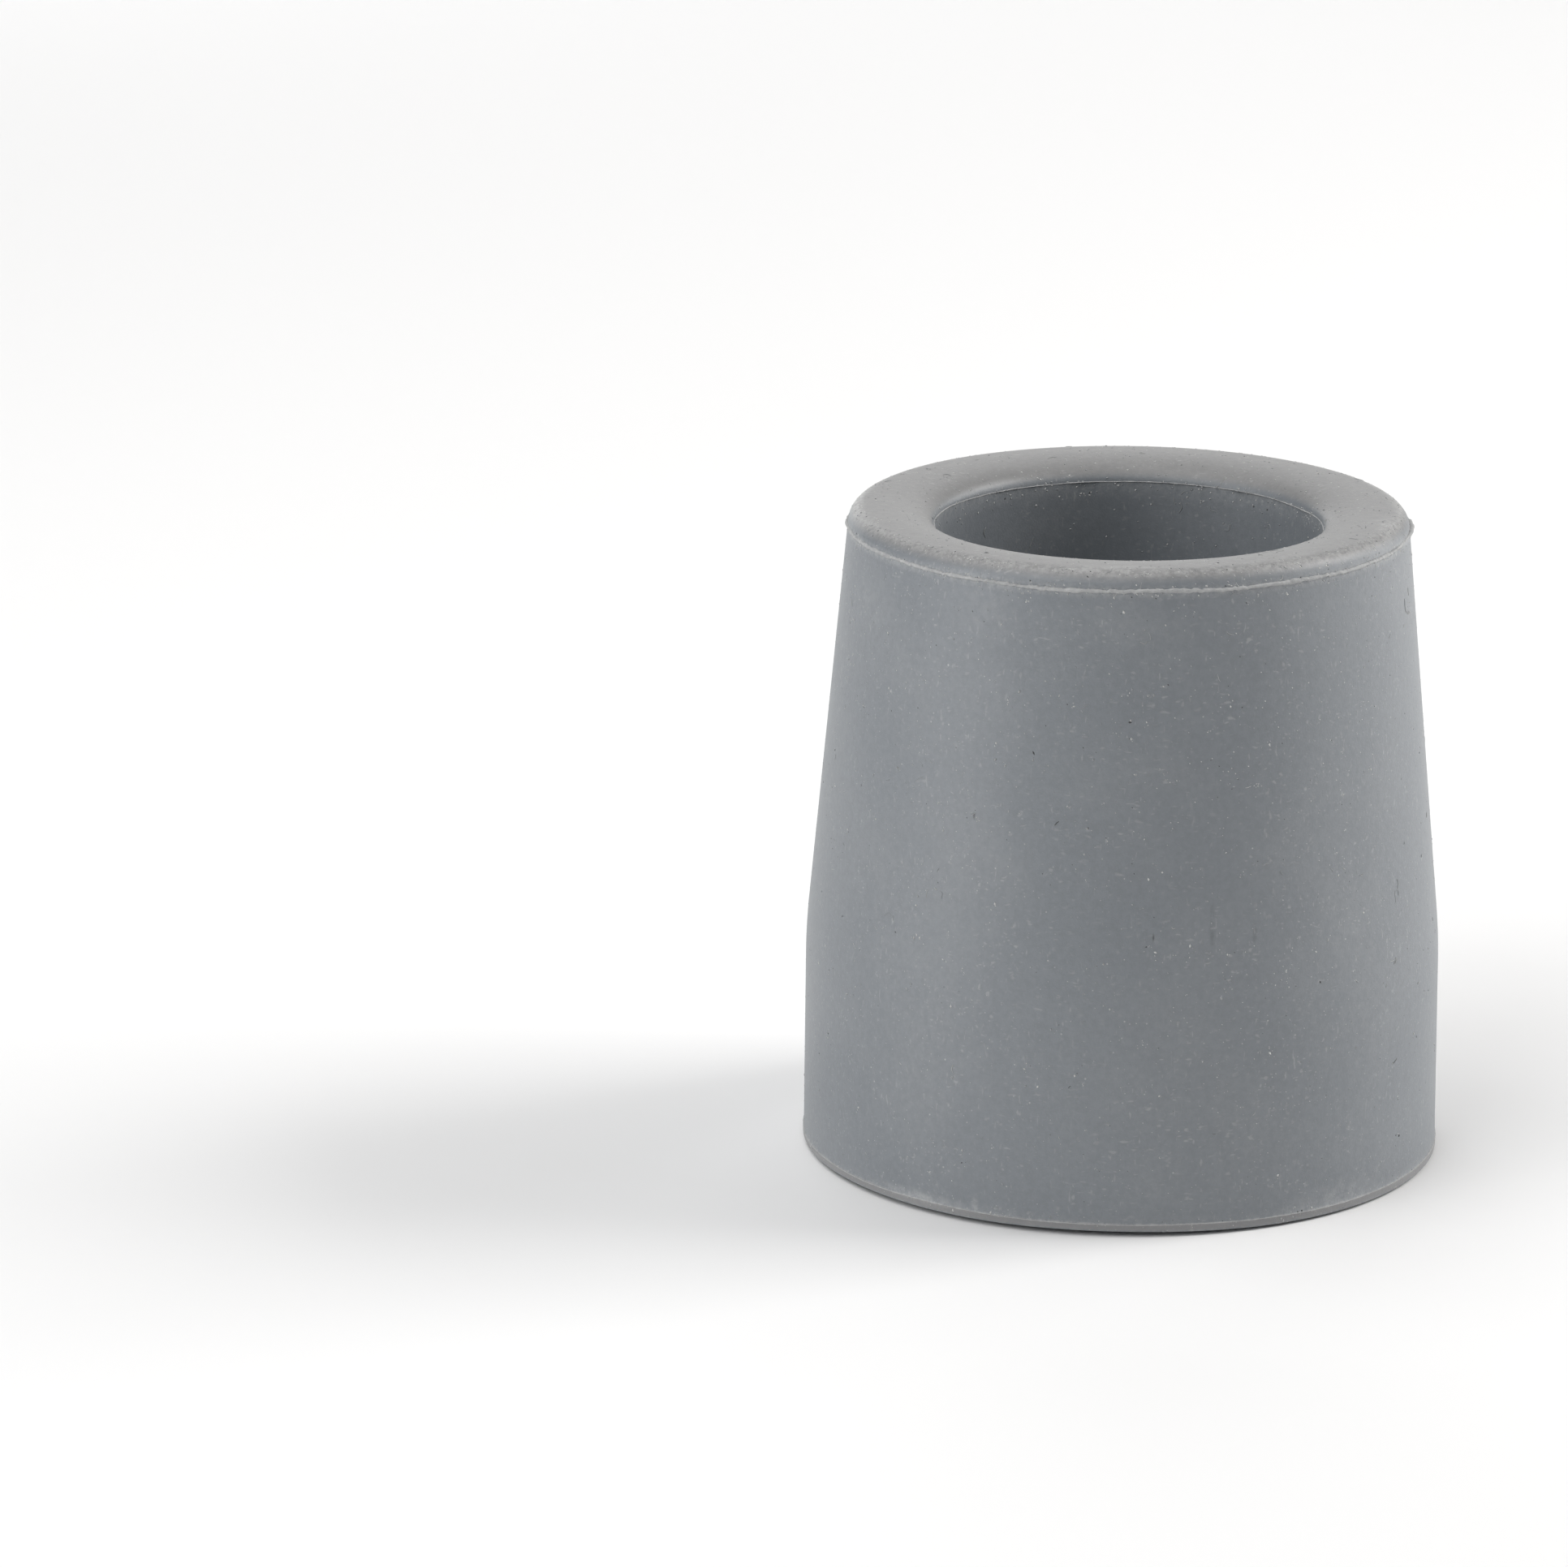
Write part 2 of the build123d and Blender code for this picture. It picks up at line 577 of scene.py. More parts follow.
@dataclass
class Moulding:
    """The tip's skin as one closed mesh."""

    columns: int = 400

    def build(self, skin: Skin) -> bpy.types.Object:
        """Turn the outline round the axis and close both ends with a fan.

        Args:
            skin: Where the surface lies.

        Returns:
            The moulding.
        """
        outline, n = skin.outline, self.columns
        angle = ring_angles(n)
        ring = skin.place(outline.length[1:-1, None], angle[None, :])
        rows = ring.shape[0]
        poles = [[0, 0, outline.height[0]], [0, 0, outline.height[-1]]]
        places = np.concatenate([ring.reshape(-1, 3), poles])
        j = np.arange(n)
        k = (j + 1) % n
        end = (rows - 1) * n
        start_fan = np.stack([np.full(n, rows * n), k, j], axis=-1)
        end_fan = np.stack([end + j, end + k, np.full(n, rows * n + 1)], axis=-1)
        marks = {
            "wear": outline.wear(),
            "groove": outline.within(Region.GROOVE),
            "band": outline.within(Region.BAND),
            "tread": outline.within(Region.TREAD),
            # Share of the top that faces up: it carries the neutral tone, which is partly settled
            # dust and partly painted sheen.
            "top": outline.upward(),
        }
        marks = {
            label: np.concatenate([np.repeat(value[1:-1], n), value[[0, -1]]])
            for label, value in marks.items()
        }
        fans = np.concatenate([start_fan, end_fan])
        return make_mesh("moulding", places, grid_faces(rows, n), fans, marks)


@dataclass(frozen=True)
class Nib:
    """A place where a fin stands taller."""

    azimuth: float
    half_width: float
    extra: float


@dataclass
class FlashLine:
    """A ragged fin of rubber that the joint of the mould leaves round the tip.

    The azimuths of the nibs are degrees from the front, positive to the right. The
    direction is the way the fin points in the half section, in degrees from outwards.
    """

    name: str
    radius: float
    height: float
    direction: float
    proud: float
    thick: float
    wander: float
    seed: int
    torn: float = 0.5
    nibs: tuple[Nib, ...] = ()
    columns: int = 2400

    def _tall(self, angle: np.ndarray) -> np.ndarray:
        """How far the fin stands out at each angle: noise at three widths, plus the nibs."""
        n = self.columns
        spikes = np.clip(ring_noise(n, 150, self.seed + 2) - 1.7, 0, 1.6)
        uneven = 0.35 * ring_noise(n, 26, self.seed) + 0.25 * ring_noise(n, 300, self.seed + 1)
        tall = self.proud * np.clip(0.8 + self.torn * (uneven + 1.2 * spikes), 0.15, 2.2)
        for nib in self.nibs:
            away = np.degrees(angle_from(nib.azimuth, angle))
            bell = np.exp(-((away / nib.half_width) ** 4))
            tall = tall + nib.extra * bell * (1 + 0.12 * ring_noise(n, 90, self.seed + 5))
        return tall

    def build(self, skin: Skin) -> bpy.types.Object:
        """Carry a blunt wedge round the ring, seated on the skin.

        Args:
            skin: Where the surface lies.

        Returns:
            The closed fin.
        """
        n = self.columns
        angle = ring_angles(n)
        seat = skin.outline.at(self.radius, self.height)
        fine = ring_noise(n, 420, self.seed + 1)
        width = self.thick * np.clip(1 + 0.14 * ring_noise(n, 120, self.seed + 3), 0.5, 1.5)
        drift = self.wander * ring_noise(n, 14, self.seed + 4) + 0.08 * self.thick * fine
        out = np.array([-0.6, 0.1, 0.72, 1.0, 0.96, 0.62, 0.05, -0.6])[:, None]
        side = np.array([-0.5, -0.5, -0.36, -0.12, 0.16, 0.38, 0.5, 0.5])[:, None]
        reach = np.where(out > 0, out * self._tall(angle), out * self.thick)
        across = side * width + drift
        turn = math.radians(self.direction)
        radius, height = skin.section(seat, angle)
        radius = radius + reach * math.cos(turn) - across * math.sin(turn)
        height = height + reach * math.sin(turn) + across * math.cos(turn)
        places = revolve(radius, angle, height)
        rows = places.shape[0]
        faces = grid_faces(rows + 1, n) % (rows * n)
        marks = {"wear": np.broadcast_to(np.clip(0.3 + 0.7 * out, 0, 1), (rows, n))}
        return make_mesh(self.name, skin.inside(places).reshape(-1, 3), faces, marks=marks)


@dataclass
class Lint:
    """Short curled fibres that lie on the rubber."""

    count: int = 460
    shortest: float = 0.16 * MM
    longest: float = 1.1 * MM
    thickness: float = 0.044 * MM
    points: int = 9
    seed: int = 51

    def build(self, skin: Skin) -> bpy.types.Object:
        """Draw each fibre as a thin tapered tube: its heading swings along its length, and
        its middle line follows the surface.

        Args:
            skin: Where the surface lies.

        Returns:
            All fibres as one mesh.
        """
        rng = np.random.default_rng(self.seed)
        n, m = self.count, self.points
        length, angle = skin.spots(n, 1.5, self.seed)
        size = self.shortest + (self.longest - self.shortest) * rng.random(n) ** 2.6
        t = np.linspace(0, 1, m)[None, :]
        swing = rng.normal(0, 1.0, (n, 1)) * t + rng.normal(0, 0.5, (n, 1)) * np.sin(2 * np.pi * t)
        course = rng.uniform(0, 2 * np.pi, (n, 1)) + swing
        step = size[:, None] / (m - 1)
        along = np.cumsum(step * np.cos(course), axis=1)
        across = np.cumsum(step * np.sin(course), axis=1)
        limit = skin.outline.length[-1]
        at_length = np.clip(length[:, None] + along, 0.0, limit)
        radius = np.maximum(skin.outline.radius_at(length), 0.5 * MM)
        at_angle = angle[:, None] + across / radius[:, None]
        outward = skin.normal(at_length, at_angle)
        girth = self.thickness * rng.uniform(0.6, 1.25, (n, 1)) / 2
        middle = skin.place(at_length, at_angle) + outward * (0.55 * girth)[..., None]
        ahead = unit(np.gradient(middle, axis=1))
        aside = unit(np.cross(outward, ahead))
        lift = np.cross(ahead, aside)
        taper = (girth * np.sqrt(np.sin(np.pi * (0.08 + 0.84 * t))))[..., None]
        sides = [aside, lift, -aside, -lift]
        tubes = np.stack([middle + taper * side for side in sides], axis=2)
        ends = np.stack([middle[:, 0], middle[:, -1]], axis=1)
        each = skin.inside(np.concatenate([tubes.reshape(n, -1, 3), ends], axis=1))
        faces = grid_faces(m, 4)
        first = np.array([[4 * m, (k + 1) % 4, k] for k in range(4)])
        last = np.array([[4 * m + 1, 4 * m - 4 + k, 4 * m - 4 + (k + 1) % 4] for k in range(4)])
        base = (np.arange(n) * (4 * m + 2))[:, None, None]
        quads = (faces[None] + base).reshape(-1, 4)
        triangles = (np.concatenate([first, last])[None] + base).reshape(-1, 3)
        tint = np.repeat(rng.random(n), 4 * m + 2)
        return make_mesh("lint", each.reshape(-1, 3), quads, triangles, {"tint": tint})


@dataclass
class Crumbs:
    """Crumbs of rubber and dust: squashed eight-sided grains that sit in the surface."""

    count: int = 13000
    smallest: float = 0.07 * MM
    largest: float = 0.24 * MM
    worn: float = 7.0
    seed: int = 61

    def build(self, skin: Skin) -> bpy.types.Object:
        """Set a grain at each scattered place, turned at random in the surface.

        Args:
            skin: Where the surface lies.

        Returns:
            All grains as one mesh.
        """
        rng = np.random.default_rng(self.seed)
        n = self.count
        length, angle = skin.spots(n, self.worn, self.seed)
        size = self.smallest + (self.largest - self.smallest) * rng.random(n) ** 4
        outward = skin.normal(length, angle)
        around = np.stack([-np.sin(angle), np.cos(angle), 0 * angle], axis=-1)
        along = np.cross(outward, around)
        turn = rng.uniform(0, np.pi, (n, 1))
        first = around * np.cos(turn) + along * np.sin(turn)
        second = np.cross(outward, first)
        long = (size * rng.uniform(0.45, 0.75, n))[:, None]
        wide = (size * rng.uniform(0.3, 0.45, n))[:, None]
        high = (size * 0.2)[:, None]
        centre = skin.place(length, angle)
        corners = np.stack(
            [
                centre + first * long,
                centre + second * wide,
                centre - first * long,
                centre - second * wide,
                centre + outward * high,
                centre - outward * high,
            ],
            axis=1,
        )
        ring = np.array([[k, (k + 1) % 4, 4] for k in range(4)])
        under = np.array([[(k + 1) % 4, k, 5] for k in range(4)])
        base = (np.arange(n) * 6)[:, None, None]
        triangles = (np.concatenate([ring, under])[None] + base).reshape(-1, 3)
        tint = np.repeat(rng.random(n), 6)
        quads = np.empty((0, 4), int)
        places = skin.inside(corners).reshape(-1, 3)
        return make_mesh("crumbs", places, quads, triangles, {"tint": tint})


# ---------------------------------------------------------------- node helpers


class Tree:
    """Short ways to add and join nodes in one node tree."""

    def __init__(self, tree: bpy.types.NodeTree) -> None:
        """Keep the tree that the nodes go into."""
        self.tree = tree

    def add(self, kind: str, **settings: object) -> bpy.types.Node:
        """Add a node.

        Args:
            kind: Blender's name of the node type.
            settings: Properties of the node.

        Returns:
            The new node.
        """
        node = self.tree.nodes.new(kind)
        for name, value in settings.items():
            setattr(node, name, value)
        return node

    def put(self, node: bpy.types.Node, values: dict[str | int, object]) -> Socket:
        """Give inputs a value, or join them to an output.

        Args:
            node: The node.
            values: Values or output sockets, by the input's name or number.

        Returns:
            The node's first output, if it has one.
        """
        for key, value in values.items():
            if isinstance(value, Socket):
                self.tree.links.new(value, node.inputs[key])
            else:
                node.inputs[key].default_value = value
        return node.outputs[0] if node.outputs else None

    def math(self, operation: str, a: object, b: object = 0.0, c: object = 0.0) -> Socket:
        """Add a Math node and return its output."""
        return self.put(self.add("ShaderNodeMath", operation=operation), {0: a, 1: b, 2: c})

    def times(self, *factors: object) -> Socket:
        """Multiply numbers, from left to right."""
        product = factors[0]
        for factor in factors[1:]:
            product = self.math("MULTIPLY", product, factor)
        return product

    def ramp(self, value: Socket, low: float, high: float, first: float, last: float) -> Socket:
        """Map low..high smoothly to first..last, held at both ends."""
        node = self.add("ShaderNodeMapRange", interpolation_type="SMOOTHSTEP")
        return self.put(node, {0: value, 1: low, 2: high, 3: first, 4: last})

    def mix(self, factor: Socket, a: object, b: object) -> Socket:
        """Mix two colours and return the result."""
        node = self.add("ShaderNodeMix", data_type="RGBA")
        self.put(node, {0: factor, 6: a, 7: b})
        return node.outputs[2]

    def coat(self, base: object, mask: Socket, share: float, tone: object) -> Socket:
        """Lay a tone over a colour: as much as the mask says, times a share."""
        return self.mix(self.times(mask, share), base, tone)

    def turned(self, vector: Socket, turn: float, scale: tuple[float, float, float]) -> Socket:
        """Turn a vector about Z, then stretch it."""
        node = self.add("ShaderNodeMapping")
        return self.put(node, {"Vector": vector, "Rotation": (0, 0, turn), "Scale": scale})

    def noise(self, vector: Socket, scale: float, detail: float, rough: float = 0.5) -> Socket:
        """Add a Noise Texture and return its value."""
        node = self.add("ShaderNodeTexNoise")
        values = {"Vector": vector, "Scale": scale, "Detail": detail, "Roughness": rough}
        return self.put(node, values)


class Group(Tree):
    """A shader node group with a vector input, other named inputs and one named output."""

    def __init__(self, name: str, inputs: dict[str, object], output: str) -> None:
        """Start the group.

        Args:
            name: Name of the group.
            inputs: Names and default values of the inputs: a number or a vector.
            output: Name of the number that comes out.
        """
        super().__init__(bpy.data.node_groups.new(name, "ShaderNodeTree"))
        face = self.tree.interface
        face.new_socket("Vector", in_out="INPUT", socket_type="NodeSocketVector")
        for label, value in inputs.items():
            kind = "NodeSocketVector" if isinstance(value, tuple) else "NodeSocketFloat"
            face.new_socket(label, in_out="INPUT", socket_type=kind).default_value = value
        face.new_socket(output, in_out="OUTPUT", socket_type="NodeSocketFloat")
        self.given = self.add("NodeGroupInput").outputs
        self.at = self.given["Vector"]
        self._end = self.add("NodeGroupOutput")

    def close(self, value: Socket) -> bpy.types.NodeTree:
        """Join the result and return the finished group."""
        self.put(self._end, {0: value})
        return self.tree


def new_material(name: str) -> tuple[bpy.types.Material, Tree, bpy.types.Node]:
    """Make a material from Blender's own shader and output.

    Args:
        name: Name of the material.

    Returns:
        The material, its node tree and its shader.
    """
    material = bpy.data.materials.new(name)
    material.use_nodes = True
    return material, Tree(material.node_tree), material.node_tree.nodes["Principled BSDF"]


# ---------------------------------------------------------------- shared effects


class Effects:
    """The shared effects, each a node group."""

    def __init__(self) -> None:
        """Make every group."""
        self.skin = self._skin()
        self.specks = self._specks()
        self.bloom = self._bloom()
        self.tooling = self._tooling()
        self.smudge = self._smudge()
        self.flow = self._flow()
        self.scuffs = self._scuffs()

    def _skin(self) -> bpy.types.NodeTree:
        """Height of matte moulded rubber: fine grain over a soft orange peel."""
        g = Group("moulded_skin", {"Grain": 1.0, "Peel": 1.0}, "Height")
        grain = g.times(g.noise(g.at, 6500, 2, 0.6), g.given["Grain"])
        peel = g.times(g.noise(g.at, 800, 1), g.given["Peel"])
        return g.close(g.math("ADD", grain, peel))

    def _specks(self) -> bpy.types.NodeTree:
        """Specks: near some centres of a cell pattern lies a spot of uneven size."""
        g = Group("specks", {"Cells": 1400.0, "Size": 0.09, "Share": 0.5}, "Mask")
        cells = g.add("ShaderNodeTexVoronoi")
        g.put(cells, {"Vector": g.at, "Scale": g.given["Cells"]})
        split = g.add("ShaderNodeSeparateColor")
        g.put(split, {"Color": cells.outputs["Color"]})
        chosen = g.math("LESS_THAN", split.outputs[0], g.given["Share"])
        spread = g.math("MULTIPLY_ADD", split.outputs[1], 0.9, 0.35)
        reach = g.times(g.given["Size"], spread)
        away = g.math("DIVIDE", cells.outputs["Distance"], reach)
        spot = g.ramp(away, 0.45, 1.0, 1.0, 0.0)
        faint = g.math("MULTIPLY_ADD", split.outputs[2], 0.75, 0.25)
        return g.close(g.times(spot, chosen, faint))

    def _scuffs(self) -> bpy.types.NodeTree:
        """Short faint strokes: peaks of noise drawn out three ways, in scattered patches."""
        g = Group("scuffs", {"Scale": 3600.0}, "Mask")
        ways = ((0.5, (0.4, 1, 1.2)), (-0.9, (0.3, 1, 0.7)), (0.2, (1.1, 0.8, 0.35)))
        peaks = []
        for turn, scale in ways:
            value = g.noise(g.turned(g.at, turn, scale), g.given["Scale"], 1, 0.5)
            peaks.append(g.ramp(value, 0.66, 0.78, 0.0, 1.0))
        strokes = g.math("MAXIMUM", g.math("MAXIMUM", peaks[0], peaks[1]), peaks[2])
        patch = g.ramp(g.noise(g.at, 330, 2), 0.35, 0.65, 0.25, 1.0)
        return g.close(g.times(strokes, patch))

    def _bloom(self) -> bpy.types.NodeTree:
        """Whitish bloom: slow blotches broken by a cloud, and streaks that run up the wall."""
        g = Group("bloom", {"Blotch": 1.0, "Streak": 1.0}, "Mask")
        blotch = g.ramp(g.noise(g.at, 100, 3, 0.55), 0.38, 0.75, 0.0, 1.0)
        cloud = g.ramp(g.noise(g.at, 900, 3, 0.65), 0.3, 0.75, 0.55, 1.0)
        smear = g.times(blotch, cloud, g.given["Blotch"])
        drawn = g.turned(g.at, 0.0, (1, 1, 0.05))
        line = g.ramp(g.noise(drawn, 1100, 2, 0.6), 0.5, 0.85, 0.0, 1.0)
        return g.close(g.math("MULTIPLY_ADD", line, g.given["Streak"], smear))

    def _tooling(self) -> bpy.types.NodeTree:
        """Height of the mould's polishing lines: fine noise drawn out two ways, crossed."""
        g = Group("tooling_lines", {"Depth": 1.0}, "Height")
        one = g.noise(g.turned(g.at, 0.42, (0.05, 1, 1)), 5200, 2, 0.65)
        two = g.noise(g.turned(g.at, -1.03, (0.04, 1, 1)), 4300, 2, 0.65)
        both = g.math("MULTIPLY_ADD", two, 0.8, one)
        return g.close(g.times(both, g.given["Depth"]))

    def _smudge(self) -> bpy.types.NodeTree:
        """One mark at a place: fades from its centre and is broken up by the given cloud."""
        inputs = {"Centre": (0.0, 0.0, 0.0), "Size": (1.0, 1.0, 1.0), "Cloud": 1.0}
        g = Group("smudge", inputs, "Mask")
        offset = g.add("ShaderNodeVectorMath", operation="SUBTRACT")
        g.put(offset, {0: g.at, 1: g.given["Centre"]})
        scaled = g.add("ShaderNodeVectorMath", operation="DIVIDE")
        g.put(scaled, {0: offset.outputs[0], 1: g.given["Size"]})
        away = g.add("ShaderNodeVectorMath", operation="LENGTH")
        g.put(away, {0: scaled.outputs[0]})
        near = g.ramp(away.outputs["Value"], 0.1, 1.0, 1.0, 0.0)
        return g.close(g.times(near, g.given["Cloud"]))

    def _flow(self) -> bpy.types.NodeTree:
        """Height of flow wrinkles on the tread: waves that fan out from a circle, in one
        sector: the sine of angle plus radius, both bent by noise."""
        g = Group("flow_wrinkles", {"Circle": 20.0 * MM, "Sector": 0.0}, "Height")
        parts = g.add("ShaderNodeSeparateXYZ")
        g.put(parts, {0: g.at})
        x, y = parts.outputs[0], parts.outputs[1]
        radius = g.math("SQRT", g.math("MULTIPLY_ADD", x, x, g.times(y, y)))
        angle = g.math("SUBTRACT", g.math("ARCTAN2", y, x), g.given["Sector"])
        bend = g.noise(g.at, 260, 2)
        out = g.math("SUBTRACT", radius, g.given["Circle"])
        phase = g.math("MULTIPLY_ADD", angle, 62.0, g.times(out, 9000.0))
        phase = g.math("MULTIPLY_ADD", bend, 26.0, phase)
        wave = g.math("SINE", phase)
        beyond = g.ramp(out, 0.0, 0.5 * MM, 0.0, 1.0)
        fade = g.ramp(out, 0.8 * MM, 2.4 * MM, 1.0, 0.0)
        sector = g.ramp(g.math("ABSOLUTE", angle), 0.25, 0.6, 1.0, 0.0)
        ridge = g.ramp(g.math("ABSOLUTE", out), 0.0, 0.09 * MM, 1.6, 0.0)
        waves = g.times(wave, beyond, fade)
        return g.close(g.times(g.math("ADD", waves, ridge), sector))


# ---------------------------------------------------------------- finishes


@dataclass(frozen=True)
class Smudge:
    """A mark on the outside wall: pale where the strength is above 0, dark below."""

    azimuth: float
    height: float
    radius: float
    half: tuple[float, float, float]
    strength: float

    @property
    def centre(self) -> tuple[float, float, float]:
        """Middle of the mark."""
        angle = heading(self.azimuth)
        return (self.radius * math.cos(angle), self.radius * math.sin(angle), self.height)


SMUDGES = (
    Smudge(13.5, 22.0 * MM, 22.2 * MM, (0.35 * MM, 0.8 * MM, 2.6 * MM), -0.30),
    Smudge(21.5, 21.4 * MM, 22.2 * MM, (0.25 * MM, 0.8 * MM, 1.2 * MM), -0.30),
    Smudge(2.8, 21.5 * MM, 22.2 * MM, (0.10 * MM, 0.5 * MM, 0.45 * MM), -0.8),
    Smudge(-31.5, 29.1 * MM, 21.5 * MM, (0.12 * MM, 0.5 * MM, 0.38 * MM), -0.7),
    Smudge(2.0, 43.0 * MM, 20.1 * MM, (4.5 * MM, 2.5 * MM, 1.7 * MM), 0.10),
    Smudge(-31.0, 43.4 * MM, 20.1 * MM, (3.6 * MM, 3.6 * MM, 3.0 * MM), 0.10),
    Smudge(-64.0, 42.0 * MM, 20.2 * MM, (3.0 * MM, 3.5 * MM, 3.2 * MM), 0.14),
    Smudge(-41.0, 1.0 * MM, 22.9 * MM, (5.0 * MM, 4.2 * MM, 0.8 * MM), 0.40),
    Smudge(-28.5, 1.5 * MM, 22.9 * MM, (0.4 * MM, 0.5 * MM, 0.8 * MM), 0.5),
    Smudge(40.0, 1.2 * MM, 22.9 * MM, (6.0 * MM, 5.0 * MM, 1.6 * MM), 0.25),
    Smudge(72.0, 46.8 * MM, 18.9 * MM, (1.6 * MM, 3.6 * MM, 0.8 * MM), 0.4),
    Smudge(-8.0, 46.8 * MM, 18.8 * MM, (6.0 * MM, 1.0 * MM, 0.6 * MM), 0.3),
)


@dataclass(frozen=True)
class RubberFinish:
    """Matte cool grey rubber, as it leaves the mould, with bloom and dust on it."""

    name: str
    colour: Colour = (0.205, 0.222, 0.240, 1.0)
    pale: Colour = (0.49, 0.492, 0.49, 1.0)
    dark: Colour = (0.05, 0.052, 0.055, 1.0)
    # Neutral tone for up-facing faces: partly settled dust, partly painted sheen standing in for
    # the neutral highlight on the top.
    settled_dust_and_sheen: Colour = (0.222, 0.222, 0.222, 1.0)
    trimmed: Colour = (0.25, 0.242, 0.238, 1.0)
    roughness: float = 0.42
    bloom: float = 0.10
    streak: float = 0.02
    speck: float = 0.72
    scuff: float = 0.28
    mottle: float = 0.12
    grain: float = 1.0
    peel: float = 0.8
    wear_share: float = 0.6
    pit_share: float = 0.85
    band_share: float = 0.6
    tooling_depth: float = 2.6
    flow_circle: float = 20.0 * MM
    flow_sector: float = -0.9
    bump_strength: float = 0.5
    bump_depth: float = 0.03 * MM
    on_wall: bool = False
    smudges: tuple[Smudge, ...] = ()

    def make(self, effects: Effects) -> bpy.types.Material:
        """Build the material.

        Args:
            effects: The shared effects.

        Returns:
            The finished material.
        """
        material, tree, shader = new_material(self.name)
        at = tree.add("ShaderNodeTexCoord").outputs["Object"]

        def effect(group: bpy.types.NodeTree, **values: object) -> Socket:
            """Place a shared group and return its output."""
            node = tree.add("ShaderNodeGroup")
            node.node_tree = group
            return tree.put(node, {"Vector": at, **values})

        def mark(name: str) -> Socket:
            """Read a value that the mesh carries."""
            return tree.add("ShaderNodeAttribute", attribute_name=name).outputs["Fac"]

        bloom = effect(effects.bloom, Blotch=self.bloom, Streak=self.streak)
        # Up-facing faces turn from the cool grey to the neutral tone: partly settled dust, partly
        # painted sheen.
        base = tree.mix(mark("top"), self.colour, self.settled_dust_and_sheen) if self.on_wall else self.colour
        base = tree.mix(bloom, base, self.pale)
        uneven = tree.ramp(tree.noise(at, 2600, 2, 0.7), 0.34, 0.64, 0.15, 1.0)
        worn = tree.times(mark("wear"), uneven)
        base = tree.coat(base, worn, self.wear_share, self.pale)
        cloud = tree.ramp(tree.noise(at, 1300, 4, 0.7), 0.36, 0.68, 0.15, 1.0)
        for smudge in self.smudges:
            spot = effect(effects.smudge, Centre=smudge.centre, Size=smudge.half, Cloud=cloud)
            tone = self.pale if smudge.strength > 0 else self.dark
            base = tree.coat(base, spot, abs(smudge.strength), tone)
        base = tree.coat(base, effect(effects.scuffs), self.scuff, self.pale)
        fine = effect(effects.specks, Cells=1900.0, Size=0.13, Share=0.45)
        big = effect(effects.specks, Cells=760.0, Size=0.065, Share=0.5)
        base = tree.coat(base, tree.math("MAXIMUM", fine, big), self.speck, self.pale)
        mottle = tree.ramp(tree.noise(at, 2100, 3, 0.7), 0.3, 0.7, 0.0, self.mottle)
        base = tree.mix(mottle, base, self.dark)
        pits = effect(effects.specks, Cells=820.0, Size=0.05, Share=0.3)
        base = tree.coat(base, pits, self.pit_share, self.dark)
        height = effect(effects.skin, Grain=self.grain, Peel=self.peel)
        if self.on_wall:
            base = tree.coat(base, mark("band"), self.band_share, self.trimmed)
            lines = effect(effects.tooling, Depth=self.tooling_depth)
            height = tree.math("ADD", height, tree.times(lines, mark("groove")))
            wrinkles = effect(effects.flow, Circle=self.flow_circle, Sector=self.flow_sector)
            height = tree.math("MULTIPLY_ADD", wrinkles, mark("tread"), height)
        bump = tree.add("ShaderNodeBump")
        values = {"Strength": self.bump_strength, "Distance": self.bump_depth, "Height": height}
        normal = tree.put(bump, values)
        rough = tree.ramp(bloom, 0.0, 0.2, self.roughness, min(1.0, self.roughness + 0.1))
        tree.put(shader, {"Base Color": base, "Roughness": rough, "Normal": normal})
        return material


@dataclass(frozen=True)
class DustFinish:
    """Pale matte dust, each grain or fibre in its own shade."""

    name: str
    shade: Colour = (0.26, 0.27, 0.28, 1.0)
    bright: Colour = (0.58, 0.576, 0.565, 1.0)
    dark: Colour = (0.07, 0.072, 0.075, 1.0)
    dark_share: float = 0.06
    roughness: float = 0.8

    def make(self) -> bpy.types.Material:
        """Build the material.

        Returns:
            The finished material.
        """
        material, tree, shader = new_material(self.name)
        tint = tree.add("ShaderNodeAttribute", attribute_name="tint").outputs["Fac"]
        at = tree.add("ShaderNodeTexCoord").outputs["Object"]
        patch = tree.math("MULTIPLY_ADD", tree.noise(at, 9000, 1), 0.5, tint)
        colour = tree.mix(tree.ramp(patch, 0.25, 1.35, 0.0, 1.0), self.shade, self.bright)
        colour = tree.mix(tree.math("LESS_THAN", tint, self.dark_share), colour, self.dark)
        tree.put(shader, {"Base Color": colour, "Roughness": self.roughness})
        return material


# ---------------------------------------------------------------- stage


@dataclass(frozen=True)
class SoftBox:
    """A square studio light that faces the tip from an azimuth and a height angle."""

    name: str
    azimuth: float
    elevation: float
    power: float
    colour: tuple[float, float, float] = (1.0, 1.0, 1.0)
    size: float = 0.35
    distance: float = 0.75

    def build(self, aim: tuple[float, float, float]) -> bpy.types.Object:
        """Make the light.

        Args:
            aim: The point that the light faces.

        Returns:
            The light's object.
        """
        data = bpy.data.lights.new(self.name, "AREA")
        data.shape, data.size = "SQUARE", self.size
        data.energy, data.color = self.power, self.colour
        light = add_object(self.name, data)
        turn, rise = heading(self.azimuth), math.radians(self.elevation)
        flat = self.distance * math.cos(rise)
        light.location = (
            aim[0] + flat * math.cos(turn),
            aim[1] + flat * math.sin(turn),
            aim[2] + self.distance * math.sin(rise),
        )
        light.rotation_euler = (math.pi / 2 - rise, 0.0, turn + math.pi / 2)
        return light


